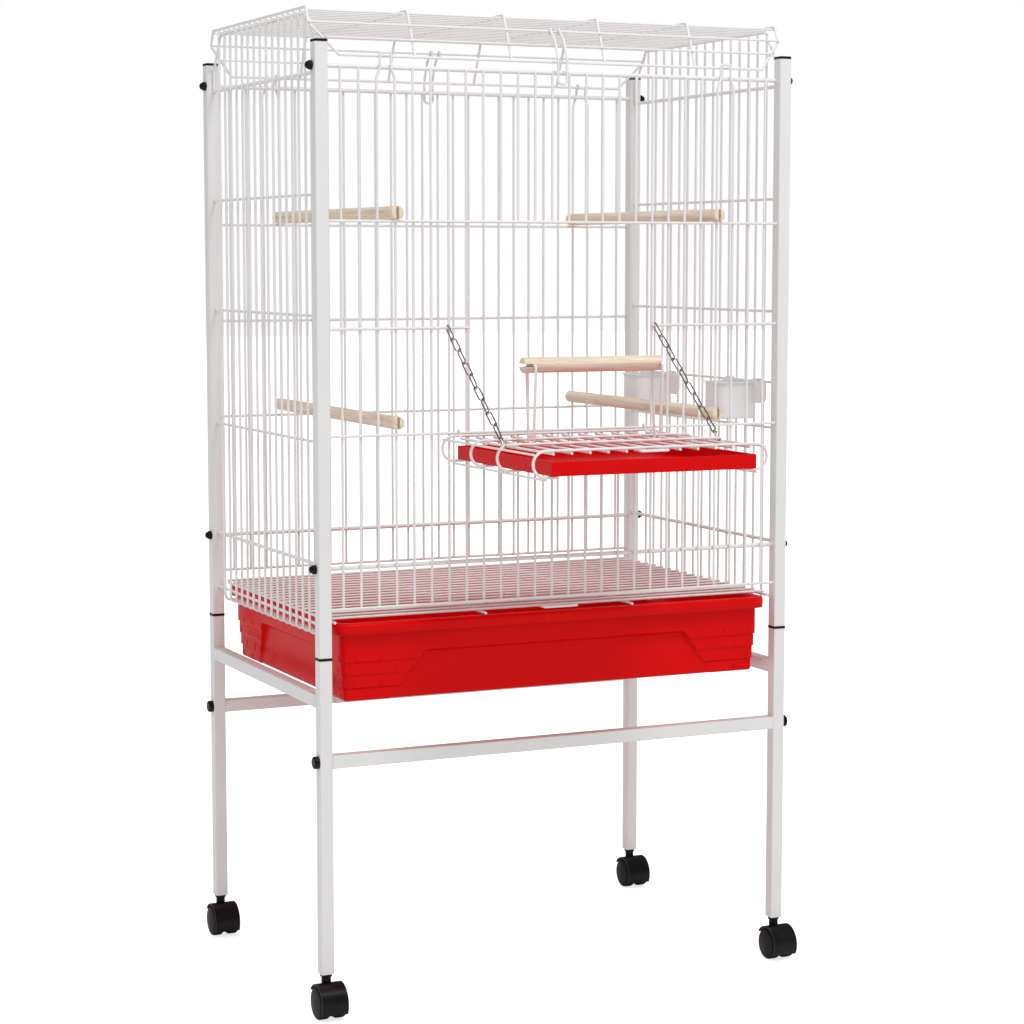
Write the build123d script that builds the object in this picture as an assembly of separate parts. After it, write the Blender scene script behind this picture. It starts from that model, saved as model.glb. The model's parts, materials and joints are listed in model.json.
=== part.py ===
"""Wire bird cage on a square-tube stand with twin-wheel casters.

Frame: +Z up, origin on the floor under the centre of the four posts, front towards -Y.
All lengths are in millimetres. Each node is written to parts/NODE.step.
"""
from build123d import *
import math
import os

# ---- driving dimensions: stand ----
STAND_WIDTH = 800.0          # over the posts, along X
STAND_DEPTH = 533.0          # over the posts, along Y
TUBE = 20.0                  # square tube side
TUBE_WALL = 1.5
TUBE_ROUND = 1.5
LEG_BOTTOM = 66.0
JOINT_HEIGHT = 545.4         # where the upper posts plug into the lower legs
POST_TOP = 1452.0
RAIL_TOP = 399.6             # front and rear rails
BEAM_TOP = 490.3             # side beams
RING = 4.0                   # coupler ring height
PLUG = TUBE - 2 * TUBE_WALL - 0.4
PLUG_DEPTH = 30.0
CAP_TOP = POST_TOP + 4.0
BOLT_RADIUS = 3.0
BOLT_REACH = 12.0            # how far a rail bolt runs into the rail's end

# ---- driving dimensions: casters ----
WHEEL_RADIUS = 25.0
WHEEL_WIDTH = 17.0
WHEEL_GAP = 8.0
TRAIL = 12.0                 # axle in front of the swivel axis when the caster points forward
AXLE_RADIUS = 2.5
STEM_RADIUS = 4.0
RUNNING_FIT = 0.05
HOOD_RADIUS = 29.0
HOOD_SHELL = 2.5
NECK_RADIUS = 7.3
WHEEL_DOME = 3.0             # bulge of a wheel's outer face
TREAD_ROUND = 4.5
SOCKET_FLANGE = 4.5          # height of the round flange under the leg
SOCKET_RADIUS = 9.2

# ---- driving dimensions: wires ----
ROD_RADIUS = 3.3             # bolted rods at the top and bottom of the front and rear panels
ROD_REACH = 5.0              # how far a rod runs out of the post into its cap nut
CROSS_RADIUS = 2.1           # horizontal and frame wires
BAR_RADIUS = 2.0             # vertical bars
FINE_RADIUS = 1.6            # roof and side rail wires
FRONT_PITCH = 28.65
FRONT_BARS = 26
SIDE_PITCH = 29.0
SIDE_BARS = 15
BEND = 5.0                   # usual bend radius of a wire

# ---- driving dimensions: cage ----
BAR_Y = 257.4                # plane of the front and rear bars
ROD_Y = BAR_Y - BAR_RADIUS - ROD_RADIUS
CROSS_Y = BAR_Y + BAR_RADIUS + CROSS_RADIUS
TOP_ROD_Z = 1418.5
LOW_ROD_Z = 679.5
HOOK_FOOT = TOP_ROD_Z - 30   # where the straight part of a hook's bar ends
HOOK_KNEE = TOP_ROD_Z - 15   # where the two bars begin to close in
HOOK_HALF = 8.7
HOOK_TOP = 1440.0
LEVEL_2 = 1193.5
LEVEL_3 = 1035.0
LEVEL_4 = 876.5
PANEL_BOTTOM = 618.8
DOOR_HALF = 5.5 * FRONT_PITCH
SIDE_BAR_X = 392.2
SIDE_CROSS_X = SIDE_BAR_X - BAR_RADIUS - CROSS_RADIUS
SIDE_LEVELS = (1232.5, 1054.0, 867.0, 593.5)
SIDE_ROD_RADIUS = 2.9
SIDE_ROD_LEVELS = (1410.0, 684.0)
SIDE_TOP = 1497.4
SIDE_SHOULDER = 1442.0
SIDE_SHOULDER_Y = 244.0
SIDE_FLAT_Y = 206.0
TRAY_RAIL_Z = 576.4          # curled lower ends of the side bars
FEEDER_WIRE_Z = 940.0

# ---- driving dimensions: roof hood ----
ROOF_LOW_Y = 250.0
ROOF_LOW_Z = 1435.0
ROOF_TOP_Y = 219.5
ROOF_TOP_Z = 1505.0
ROOF_MID_Z = (1481.0, 1459.0)  # side wires of the hood
ROOF_HALF = 396.5
ROOF_LOW_HALF = 356.0
ROOF_TOP_WIRES = 18
LATCH_BOTTOM = 1402.0

# ---- driving dimensions: trays and floor grid ----
TRAY_TOP = 596.0
TRAY_BOTTOM = 475.5
TRAY_RIM_X = 372.0
TRAY_RIM_Y = 262.0
TRAY_RIM_HEIGHT = 17.5
TRAY_BODY_X = 359.0
TRAY_BODY_Y = 250.0
TRAY_WALL = 2.5
BRICK_ROWS = (578.5, 535.0, 515.0, 495.0, 475.5)  # plain band, then three rows of bricks
BRICK_STEP = 2.3             # each row stands this far inside the row above
RECESS_TOP = 549.0
RECESS_DEPTH = 9.0
RECESS_X = (226.0, 283.0)    # half lengths of the front and rear recesses at top and bottom
RECESS_Y = (118.0, 150.0)    # and of the side recesses
FLOOR_Z = TRAY_TOP + 0.4 + CROSS_RADIUS  # runners under the grid's fine wires
RUNNER_FRONT = -258.0
RUNNERS = (-372.0, -126.0, 126.0, 372.0)
FLOOR_HALF = 374.0
FLOOR_FRONT = -240.0
FLOOR_REAR = 246.0
FLOOR_PITCH = 28.5
FLOOR_WIRE_RADIUS = 2.0
PULL_HALF = 28.0
PULL_REACH = 22.0            # pull loop in front of the grid's front wire

# ---- driving dimensions: platform door ----
DOOR_X = -FRONT_PITCH / 2    # the door's bars lie between the panel's bars
HINGE_Y = -CROSS_Y
HINGE_Z = LEVEL_4
GRID_DROP = 3.8              # hinge axis down to the door's cross wires
CURL_RADIUS = 18.7
CURL_CENTRE = 168.3
CURL_STUB = 150.0            # where a curl's lower end stops, across from the door's centre line
DOOR_CROSS = (5.5, 111.5, 205.5, 326.5)
DOOR_BARS = 12
DOOR_TRAY_HALF = 163.6
DOOR_TRAY_HEIGHT = 20.5
PLATFORM_PERCH_Y = -405.0
PLATFORM_PERCH_Z = 983.6
PLATFORM_PERCH_REACH = {-1: 119.0, 1: 109.4}  # left and right of the door's centre line
PLATFORM_PERCH_RADIUS = 11.5
BRACKET_X = 3.5 * FRONT_PITCH + BAR_RADIUS + CROSS_RADIUS
BRACKET_HALF = 16.0

# ---- driving dimensions: chains, perches and cups ----
CHAIN_X = 175.7              # from the door's centre line
LINK_RADIUS = 1.1
LINK_HALF = 14.875           # link centre to the middle of its end wire
LINK_WIDTH = 4.4             # centre line half width
LINKS_UPPER = 4
LINKS_LOWER = 5
HOOK_PLAY = 0.8              # room around the door's sloping wire in the end hook
PERCH_RADIUS = 10.0
PERCH_HALF = 268.0
PERCH_X = 9.5 * FRONT_PITCH
PERCH_HEIGHTS = {"upper": 1206.0, "lower": 894.5}
CUP_DEPTH = 58.0
CUP_WIDTH = 62.0
CUP_TOP = 939.0
CUP_HEIGHT = 60.0
CUP_WALL = 2.0
CUP_FRONTS = {"front": -184.0, "rear": 108.0}

POST_X = STAND_WIDTH / 2 - TUBE / 2
POST_Y = STAND_DEPTH / 2 - TUBE / 2
SIDES = {"left": -1, "right": 1}
ENDS = {"front": -1, "rear": 1}


# ---- shape helpers ----
def rod(start, end, radius):
    """Straight round wire between two points."""
    start, end = Vector(*start), Vector(*end)
    length = (end - start).length
    plane = Plane(origin=start, z_dir=end - start)
    return plane * Cylinder(radius, length, align=(Align.CENTER, Align.CENTER, Align.MIN))


def bent_wire(points, radius, bend=BEND):
    """Round wire along a polyline whose corners are bent to a radius."""
    path = FilletPolyline(*points, radius=bend)
    section = Plane(origin=path @ 0, z_dir=path % 0) * Circle(radius)
    return sweep(section, path=path)


def path_wire(edges, radius):
    """Round wire along connected edges."""
    path = Wire(edges)
    section = Plane(origin=path @ 0, z_dir=path % 0) * Circle(radius)
    return sweep(section, path=path)


def block(low, high):
    """Box between two opposite corners."""
    size = [high[i] - low[i] for i in range(3)]
    middle = [(high[i] + low[i]) / 2 for i in range(3)]
    return Pos(*middle) * Box(*size)


def rounded_slab(half_x, half_y, corner, low_z, high_z):
    """Rectangular slab with rounded vertical corners, centred on the Z axis."""
    face = RectangleRounded(2 * half_x, 2 * half_y, corner)
    return Pos(0, 0, low_z) * extrude(face, high_z - low_z)


def square_tube(low, high, axis):
    """Hollow square tube along one axis, with rounded outer edges."""
    length = high[axis] - low[axis]
    outer = RectangleRounded(TUBE, TUBE, TUBE_ROUND)
    inner = Rectangle(TUBE - 2 * TUBE_WALL, TUBE - 2 * TUBE_WALL)
    profile = outer - inner
    direction = [(1, 0, 0), (0, 1, 0), (0, 0, 1)][axis]
    origin = [(low[i] + high[i]) / 2 for i in range(3)]
    origin[axis] = low[axis]
    side = (1, 0, 0) if axis != 0 else (0, 1, 0)
    return Plane(origin=origin, x_dir=side, z_dir=direction) * extrude(profile, length)


def node(name, shapes):
    """Write one node as a STEP file holding its separate solids."""
    solids = []
    for shape in shapes:
        solids.extend(shape.solids())
    part = Compound(children=solids)
    part.label = name
    export_step(part, f"parts/{name}.step")


# ---- stand ----
def post_bores(side, end):
    """Holes in one upper post for the panel rods and the side panel's rods."""
    x_mid = side * POST_X
    cuts = []
    for height in (TOP_ROD_Z, LOW_ROD_Z):
        low = (x_mid - TUBE, end * ROD_Y, height)
        high = (x_mid + TUBE, end * ROD_Y, height)
        cuts.append(rod(low, high, ROD_RADIUS + 0.1))
    for height in SIDE_ROD_LEVELS:
        start = (side * SIDE_CROSS_X, end * (POST_Y - TUBE), height)
        stop = (side * SIDE_CROSS_X, end * (POST_Y - TUBE / 2 + 2 * TUBE_WALL), height)
        cuts.append(rod(start, stop, SIDE_ROD_RADIUS + 0.1))
    return cuts


def leg_bolt_bore(side, end):
    """Hole for the rail bolt in one lower leg."""
    height = RAIL_TOP - TUBE / 2
    start = (side * (POST_X - TUBE), end * POST_Y, height)
    stop = (side * (POST_X + TUBE), end * POST_Y, height)
    return rod(start, stop, BOLT_RADIUS + 0.1)


def build_stand():
    ring_low = JOINT_HEIGHT - RING / 2
    ring_high = JOINT_HEIGHT + RING / 2
    couplers, caps, nuts, bolts, sockets = [], [], [], [], []
    for side_name, side in SIDES.items():
        for end_name, end in ENDS.items():
            x, y = side * POST_X, end * POST_Y
            leg = square_tube((x, y, LEG_BOTTOM), (x, y, ring_low), 2)
            node(f"lower_leg_{end_name}_{side_name}", [leg - leg_bolt_bore(side, end)])
            post = square_tube((x, y, ring_high), (x, y, POST_TOP), 2)
            for bore in post_bores(side, end):
                post = post - bore
            node(f"upper_post_{end_name}_{side_name}", [post])
            couplers.append(Pos(x, y, 0) * coupler(ring_low, ring_high))
            caps.append(Pos(x, y, 0) * post_cap())
            sockets.append(Pos(x, y, 0) * caster_socket())
            bolts.append(rail_bolt(side, end))
            for height in (TOP_ROD_Z, LOW_ROD_Z):
                nuts.append(cap_nut(side, end, height))
    node("leg_couplers", couplers)
    node("post_caps", caps)
    node("caster_sockets", sockets)
    node("rail_bolts", bolts)
    node("cap_nuts", nuts)
    inner = POST_Y - TUBE / 2
    for side_name, side in SIDES.items():
        low = (side * POST_X, -inner, BEAM_TOP - TUBE / 2)
        high = (side * POST_X, inner, BEAM_TOP - TUBE / 2)
        node(f"side_beam_{side_name}", [square_tube(low, high, 1)])
    inner = POST_X - TUBE / 2
    for end_name, end in ENDS.items():
        height = RAIL_TOP - TUBE / 2
        tube = square_tube((-inner, end * POST_Y, height), (inner, end * POST_Y, height), 0)
        node(f"{end_name}_rail", [tube] + rail_end_plugs(end))


def rail_end_plugs(end):
    """Threaded plugs in the two ends of a rail, which the rail bolts screw into."""
    plugs = []
    height = RAIL_TOP - TUBE / 2
    for side in SIDES.values():
        x = side * (POST_X - TUBE / 2 - 10)
        plug = Pos(x, end * POST_Y, height) * Box(20, PLUG + 0.4, PLUG + 0.4)
        start = (side * (POST_X - TUBE / 2 - BOLT_REACH - 1), end * POST_Y, height)
        stop = (side * POST_X, end * POST_Y, height)
        plugs.append(plug - rod(start, stop, BOLT_RADIUS + 0.05))
    return plugs


def coupler(ring_low, ring_high):
    """Plastic joiner: a visible ring with a plug into the tube above and below."""
    ring = rounded_slab(TUBE / 2 + 0.6, TUBE / 2 + 0.6, 2.0, ring_low, ring_high)
    plug = rounded_slab(PLUG / 2, PLUG / 2, 1.0, ring_low - PLUG_DEPTH, ring_high + PLUG_DEPTH)
    return ring + plug


def post_cap():
    """Black end cap of an upper post."""
    top = rounded_slab(TUBE / 2 + 0.3, TUBE / 2 + 0.3, 2.0, POST_TOP, CAP_TOP)
    top = fillet(top.edges().group_by(Axis.Z)[-1], 1.5)
    return top + rounded_slab(PLUG / 2, PLUG / 2, 1.0, POST_TOP - 12, POST_TOP)


def caster_socket():
    """Black plug in a leg's end with the bore that the caster's stem turns in."""
    flange = rod((0, 0, LEG_BOTTOM - SOCKET_FLANGE), (0, 0, LEG_BOTTOM), SOCKET_RADIUS)
    flange = fillet(flange.edges().group_by(Axis.Z)[0], 1.2)
    plug = rounded_slab(PLUG / 2, PLUG / 2, 1.0, LEG_BOTTOM, LEG_BOTTOM + 38)
    bore = rod((0, 0, LEG_BOTTOM - 10), (0, 0, LEG_BOTTOM + 34), STEM_RADIUS + RUNNING_FIT)
    return flange + plug - bore


def cap_nut(side, end, height):
    """Dome cap nut on the end of a panel rod."""
    bore_end = ROD_REACH + 0.2
    outside = [(0, ROD_RADIUS), (0, 7), (4.5, 7), (4.5, 6.2), (7.4, 5.4), (9.3, 3.6), (10.2, 1.4), (10.2, 0)]
    bore = [(bore_end, 0), (bore_end, ROD_RADIUS)]
    profile = make_face(Polyline(*outside, *bore, close=True))
    nut = Pos(STAND_WIDTH / 2, 0, 0) * revolve(profile, Axis.X)
    if side < 0:
        nut = mirror(nut, about=Plane.YZ)
    return Pos(0, end * ROD_Y, height) * nut


def rail_bolt(side, end):
    """Bolt with a flat round black head, through a leg into a rail's end plug."""
    outer_x = STAND_WIDTH / 2
    head = Pos(outer_x, 0, 0) * Rot(0, 90, 0) * extrude(Circle(9.5), 8)
    head = fillet(head.edges().sort_by(Axis.X)[-1], 2.5)
    shank = rod((POST_X - TUBE / 2 - BOLT_REACH, 0, 0), (outer_x, 0, 0), BOLT_RADIUS)
    bolt = head + shank
    if side < 0:
        bolt = mirror(bolt, about=Plane.YZ)
    return Pos(0, end * POST_Y, RAIL_TOP - TUBE / 2) * bolt


# ---- casters ----
def caster_hood():
    """Stem, neck and hood with the web that carries the axle. Swivel axis on Z."""
    hood_width = 2 * WHEEL_WIDTH + WHEEL_GAP
    axle = (0, -TRAIL, WHEEL_RADIUS)
    shell = Circle(HOOD_RADIUS) - Circle(HOOD_RADIUS - HOOD_SHELL)
    covered = make_face(Polyline((0, 0), (-60, -36), (-60, 60), (60, 60), (60, 42), close=True))
    side_view = Plane(origin=axle, x_dir=(0, 1, 0), z_dir=(1, 0, 0))
    shell = side_view * extrude(shell & covered, hood_width / 2, both=True)
    web = (Circle(HOOD_RADIUS - HOOD_SHELL / 2) & covered) + Circle(9)
    web = side_view * extrude(web, WHEEL_GAP / 2 - 0.8, both=True)
    boss = rod((0, 0, WHEEL_RADIUS), (0, 0, LEG_BOTTOM - SOCKET_FLANGE - 0.3), NECK_RADIUS)
    boss = boss - side_view * Cylinder(HOOD_RADIUS - HOOD_SHELL, 60)
    stem = rod((0, 0, LEG_BOTTOM - 12), (0, 0, LEG_BOTTOM + 30), STEM_RADIUS)
    return shell + web + boss + stem - side_view * Cylinder(AXLE_RADIUS, 60)


def caster_axle():
    return Plane(origin=(0, -TRAIL, WHEEL_RADIUS), z_dir=(1, 0, 0)) * Cylinder(
        AXLE_RADIUS, WHEEL_GAP + 2 * WHEEL_WIDTH - 6
    )


def caster_wheel(side):
    """One wheel: rounded tread, domed outer face and a blind bore for the axle."""
    inner_x = WHEEL_GAP / 2
    outer_x = inner_x + WHEEL_WIDTH
    hub = (outer_x + WHEEL_DOME, 0)
    halfway = (outer_x + 0.75 * WHEEL_DOME, WHEEL_RADIUS / 2)
    outline = [
        Polyline(hub, (inner_x, 0), (inner_x, WHEEL_RADIUS), (outer_x, WHEEL_RADIUS)),
        ThreePointArc((outer_x, WHEEL_RADIUS), halfway, hub),
    ]
    wheel = revolve(make_face(outline), Axis.X)
    wheel = fillet(wheel.edges().filter_by(lambda edge: edge.is_closed), TREAD_ROUND)
    bore = Pos(inner_x + (WHEEL_WIDTH - 3) / 2, 0, 0) * Rot(0, 90, 0) * Cylinder(
        AXLE_RADIUS + RUNNING_FIT, WHEEL_WIDTH - 3 + 0.2
    )
    wheel = wheel - bore
    if side < 0:
        wheel = mirror(wheel, about=Plane.YZ)
    return Pos(0, -TRAIL, WHEEL_RADIUS) * wheel


def build_casters():
    for side_name, side in SIDES.items():
        for end_name, end in ENDS.items():
            place = Pos(side * POST_X, end * POST_Y, 0)
            name = f"caster_{end_name}_{side_name}"
            node(f"{name}_hood", [place * caster_hood()])
            node(f"{name}_axle", [place * caster_axle()])
            for wheel_name, wheel_side in SIDES.items():
                node(f"{name}_{wheel_name}_wheel", [place * caster_wheel(wheel_side)])


# ---- front and rear panels ----
def bar_positions(count, pitch):
    return [(i - (count - 1) / 2) * pitch for i in range(count)]


def is_hook_bar(x):
    """The two pairs of bars that run on above the top rod as hooks."""
    return 9 * FRONT_PITCH < abs(x) < 11 * FRONT_PITCH


def panel_rods(end):
    reach = STAND_WIDTH / 2 + ROD_REACH
    rods = []
    for height in (TOP_ROD_Z, LOW_ROD_Z):
        rods.append(rod((-reach, end * ROD_Y, height), (reach, end * ROD_Y, height), ROD_RADIUS))
    return rods


def cross_wire(end, height, start=None, stop=None):
    half = POST_X - TUBE / 2 - 0.5
    start = -half if start is None else start
    stop = half if stop is None else stop
    return rod((start, end * CROSS_Y, height), (stop, end * CROSS_Y, height), CROSS_RADIUS)


def hook_bars(middle, y):
    """The straight parts of the two bars that end in a hook."""
    half = FRONT_PITCH / 2
    return [rod((middle + x, y, PANEL_BOTTOM), (middle + x, y, HOOK_FOOT), BAR_RADIUS) for x in (-half, half)]


def front_hook(middle):
    """Narrow inverted U above two bars, which stands before the roof's low wire."""
    half = FRONT_PITCH / 2
    leg = [(-half, HOOK_FOOT), (-half, HOOK_KNEE), (-HOOK_HALF, TOP_ROD_Z), (-HOOK_HALF, HOOK_TOP)]
    points = leg + [(-x, z) for x, z in reversed(leg)]
    return bent_wire([(middle + x, -BAR_Y, z) for x, z in points], BAR_RADIUS, 4.0)


def rear_hook(middle):
    """Tops of two bars, curled over the roof's rear low wire and joined at the tip: the roof's hinge."""
    half = FRONT_PITCH / 2
    ring = CROSS_RADIUS + BAR_RADIUS + RUNNING_FIT
    wires = []
    for sign in (-1, 1):
        x = middle + sign * HOOK_HALF
        foot = (middle + sign * half, BAR_Y, HOOK_KNEE)
        knee = (x, BAR_Y, TOP_ROD_Z)
        neck = (x, ROOF_LOW_Y + ring, ROOF_LOW_Z)
        bar = bent_wire([(middle + sign * half, BAR_Y, HOOK_FOOT), foot, knee, neck], BAR_RADIUS, 4.0)
        plane = Plane(origin=(x, ROOF_LOW_Y, ROOF_LOW_Z), x_dir=(0, 1, 0), z_dir=(1, 0, 0))
        section = Plane.XZ * Pos(ring, 0, 0) * Circle(BAR_RADIUS)
        curl = plane * revolve(section, Axis.Z, 180)
        wires.append(bar + curl + Pos(*neck) * Sphere(BAR_RADIUS))
    tip = ROOF_LOW_Y - ring
    tie_z = ROOF_LOW_Z - 1.5
    tie = rod((middle - HOOK_HALF, tip, tie_z), (middle + HOOK_HALF, tip, tie_z), BAR_RADIUS)
    return wires[0] + wires[1] + tie


def build_front_panel():
    wires = panel_rods(-1)
    for x in bar_positions(FRONT_BARS, FRONT_PITCH):
        if is_hook_bar(x):
            continue
        if abs(x) < DOOR_HALF - 1:
            wires.append(rod((x, -BAR_Y, PANEL_BOTTOM), (x, -BAR_Y, LEVEL_4), BAR_RADIUS))
            wires.append(rod((x, -BAR_Y, LEVEL_2), (x, -BAR_Y, TOP_ROD_Z), BAR_RADIUS))
        else:
            wires.append(rod((x, -BAR_Y, PANEL_BOTTOM), (x, -BAR_Y, TOP_ROD_Z), BAR_RADIUS))
    for middle in (-10 * FRONT_PITCH, 10 * FRONT_PITCH):
        wires += hook_bars(middle, -BAR_Y)
        wires.append(front_hook(middle))
    for height in (LEVEL_2, LEVEL_4, PANEL_BOTTOM):
        wires.append(cross_wire(-1, height))
    edge = DOOR_HALF + BAR_RADIUS
    wires.append(cross_wire(-1, LEVEL_3, stop=-DOOR_HALF + BAR_RADIUS))
    wires.append(cross_wire(-1, LEVEL_3, start=edge - 2 * BAR_RADIUS))
    node("front_panel", wires)


def build_rear_panel():
    wires = panel_rods(1)
    for x in bar_positions(FRONT_BARS, FRONT_PITCH):
        if not is_hook_bar(x):
            wires.append(rod((x, BAR_Y, PANEL_BOTTOM), (x, BAR_Y, TOP_ROD_Z), BAR_RADIUS))
    for middle in (-10 * FRONT_PITCH, 10 * FRONT_PITCH):
        wires += hook_bars(middle, BAR_Y)
        wires.append(rear_hook(middle))
    for height in (LEVEL_2, LEVEL_3, LEVEL_4, PANEL_BOTTOM):
        wires.append(cross_wire(1, height))
    node("rear_panel", wires)


# ---- side panels ----
def side_bar_top(y):
    """Height of the side panel's sloping top frame over a bar."""
    run = max(0.0, abs(y) - SIDE_FLAT_Y)
    return SIDE_TOP - run * (SIDE_TOP - SIDE_SHOULDER) / (SIDE_SHOULDER_Y - SIDE_FLAT_Y)


def build_side_panel(side_name, side):
    wires = []
    inner = POST_Y - TUBE / 2
    x_cross = side * SIDE_CROSS_X
    for height in SIDE_ROD_LEVELS:
        reach = inner + 2
        wires.append(rod((x_cross, -reach, height), (x_cross, reach, height), SIDE_ROD_RADIUS))
    levels = SIDE_LEVELS + ((FEEDER_WIRE_Z,) if side > 0 else ())
    for height in levels:
        reach = inner - 0.5
        wires.append(rod((x_cross, -reach, height), (x_cross, reach, height), CROSS_RADIUS))
    for y in bar_positions(SIDE_BARS, SIDE_PITCH):
        joint = (side * SIDE_BAR_X, y, TRAY_RAIL_Z + 10)
        wires.append(rod((side * SIDE_BAR_X, y, side_bar_top(y)), joint, BAR_RADIUS))
        foot = [joint, (side * SIDE_BAR_X, y, TRAY_RAIL_Z), (side * (TRAY_RIM_X - 6), y, TRAY_RAIL_Z)]
        wires.append(bent_wire(foot, BAR_RADIUS, 9.0))
    flat = SIDE_FLAT_Y - 8
    wires.append(rod((x_cross, -flat, SIDE_TOP), (x_cross, flat, SIDE_TOP), CROSS_RADIUS))
    for end in ENDS.values():
        outline = [(SIDE_SHOULDER_Y, SIDE_ROD_LEVELS[0] + SIDE_ROD_RADIUS), (SIDE_SHOULDER_Y, SIDE_SHOULDER)]
        outline += [(SIDE_FLAT_Y, SIDE_TOP), (flat, SIDE_TOP)]
        wires.append(bent_wire([(x_cross, end * y, z) for y, z in outline], CROSS_RADIUS, 6.0))
    node(f"{side_name}_panel", wires)


# ---- roof hood ----
def slope_point(height, outward=0.0):
    """Distance from the centre plane, and height, of a point on the hood's sloping faces."""
    share = (height - ROOF_LOW_Z) / (ROOF_TOP_Z - ROOF_LOW_Z)
    run = ROOF_LOW_Y - ROOF_TOP_Y
    rise = ROOF_TOP_Z - ROOF_LOW_Z
    length = math.hypot(run, rise)
    y = ROOF_LOW_Y - share * run + outward * rise / length
    return y, height + outward * run / length


MID_1, MID_2 = (slope_point(height, CROSS_RADIUS + FINE_RADIUS) for height in ROOF_MID_Z)


def build_roof():
    wires = []
    for end in ENDS.values():
        low = ROOF_LOW_HALF
        wires.append(rod((-low, end * ROOF_LOW_Y, ROOF_LOW_Z), (low, end * ROOF_LOW_Y, ROOF_LOW_Z), CROSS_RADIUS))
        for (y, z), half in ((MID_1, ROOF_HALF), (MID_2, ROOF_LOW_HALF + 20)):
            wires.append(rod((-half, end * y, z), (half, end * y, z), FINE_RADIUS))
    knee_y, knee_z = slope_point(ROOF_MID_Z[0])
    below_y, below_z = slope_point(ROOF_TOP_Z - 8)
    flat_y = ROOF_TOP_Y - 10
    for x in bar_positions(4, 5.5 * FRONT_PITCH) + [-ROOF_HALF, ROOF_HALF]:
        wires.append(rod((x, -flat_y, ROOF_TOP_Z), (x, flat_y, ROOF_TOP_Z), CROSS_RADIUS))
        for end in ENDS.values():
            shoulder = [(x, end * below_y, below_z), (x, end * ROOF_TOP_Y, ROOF_TOP_Z)]
            shoulder.append((x, end * flat_y, ROOF_TOP_Z))
            wires.append(bent_wire(shoulder, CROSS_RADIUS, 4.0))
            if abs(x) < ROOF_HALF:
                low = (x, end * ROOF_LOW_Y, ROOF_LOW_Z)
                wires.append(rod(low, shoulder[0], CROSS_RADIUS))
            else:
                low = (math.copysign(ROOF_LOW_HALF, x), end * ROOF_LOW_Y, ROOF_LOW_Z)
                wires.append(bent_wire([low, (x, end * knee_y, knee_z), shoulder[0]], CROSS_RADIUS))
    under = ROOF_TOP_Z - CROSS_RADIUS - FINE_RADIUS
    reach = ROOF_TOP_Y - 3
    for i in range(ROOF_TOP_WIRES):
        y = -reach + i * 2 * reach / (ROOF_TOP_WIRES - 1)
        wires.append(rod((-ROOF_HALF, y, under), (ROOF_HALF, y, under), FINE_RADIUS))
    node("roof_hood", wires)


def build_roof_latch(end_name, end):
    """Wire loop that hangs from the hood's upper side wire down over the panel's top rod."""
    y_pivot, z_pivot = MID_1
    ring = FINE_RADIUS + BAR_RADIUS + RUNNING_FIT
    half = 7.5
    front = CROSS_Y + 1.6
    seam = LATCH_BOTTOM + 10
    leg = [(y_pivot + ring, z_pivot), (y_pivot + 17, z_pivot - 14), (front, ROOF_LOW_Z + 4), (front, seam)]
    tip = [(-half, seam), (-half, LATCH_BOTTOM), (half, LATCH_BOTTOM), (half, seam)]
    wires = [bent_wire([(x, end * front, z) for x, z in tip], BAR_RADIUS, 5.5)]
    for x in (-half, half):
        plane = Plane(origin=(x, end * y_pivot, z_pivot), z_dir=(1, 0, 0))
        arm = bent_wire([(x, end * y, z) for y, z in leg], BAR_RADIUS, 5.5)
        wires.append(arm + plane * Torus(ring, BAR_RADIUS))
    node(f"roof_latch_{end_name}", wires)


# ---- floor grid and drawer tray ----
def build_floor_grid():
    """Fine wires across runners that rest on the drawer tray's rim, with a pull loop in front."""
    wires = []
    for x in RUNNERS:
        wires.append(rod((x, RUNNER_FRONT, FLOOR_Z), (x, FLOOR_REAR, FLOOR_Z), CROSS_RADIUS))
    border_z = FLOOR_Z + 2 * CROSS_RADIUS
    for y in (FLOOR_FRONT, FLOOR_REAR):
        wires.append(rod((-FLOOR_HALF, y, border_z), (FLOOR_HALF, y, border_z), CROSS_RADIUS))
    fine_z = FLOOR_Z + CROSS_RADIUS + FLOOR_WIRE_RADIUS
    count = round((FLOOR_REAR - FLOOR_FRONT) / FLOOR_PITCH)
    for i in range(1, count):
        y = FLOOR_FRONT + i * (FLOOR_REAR - FLOOR_FRONT) / count
        wires.append(rod((-FLOOR_HALF, y, fine_z), (FLOOR_HALF, y, fine_z), FLOOR_WIRE_RADIUS))
    front = FLOOR_FRONT - PULL_REACH
    seam = front + 6
    loop = [(-PULL_HALF, seam), (-PULL_HALF, front), (PULL_HALF, front), (PULL_HALF, seam)]
    wires.append(bent_wire([(x, y, border_z) for x, y in loop], BAR_RADIUS, 3.0))
    for x in (-PULL_HALF, PULL_HALF):
        wires.append(rod((x, FLOOR_FRONT - CROSS_RADIUS, border_z), (x, seam, border_z), BAR_RADIUS))
    node("floor_grid", wires)


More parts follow.
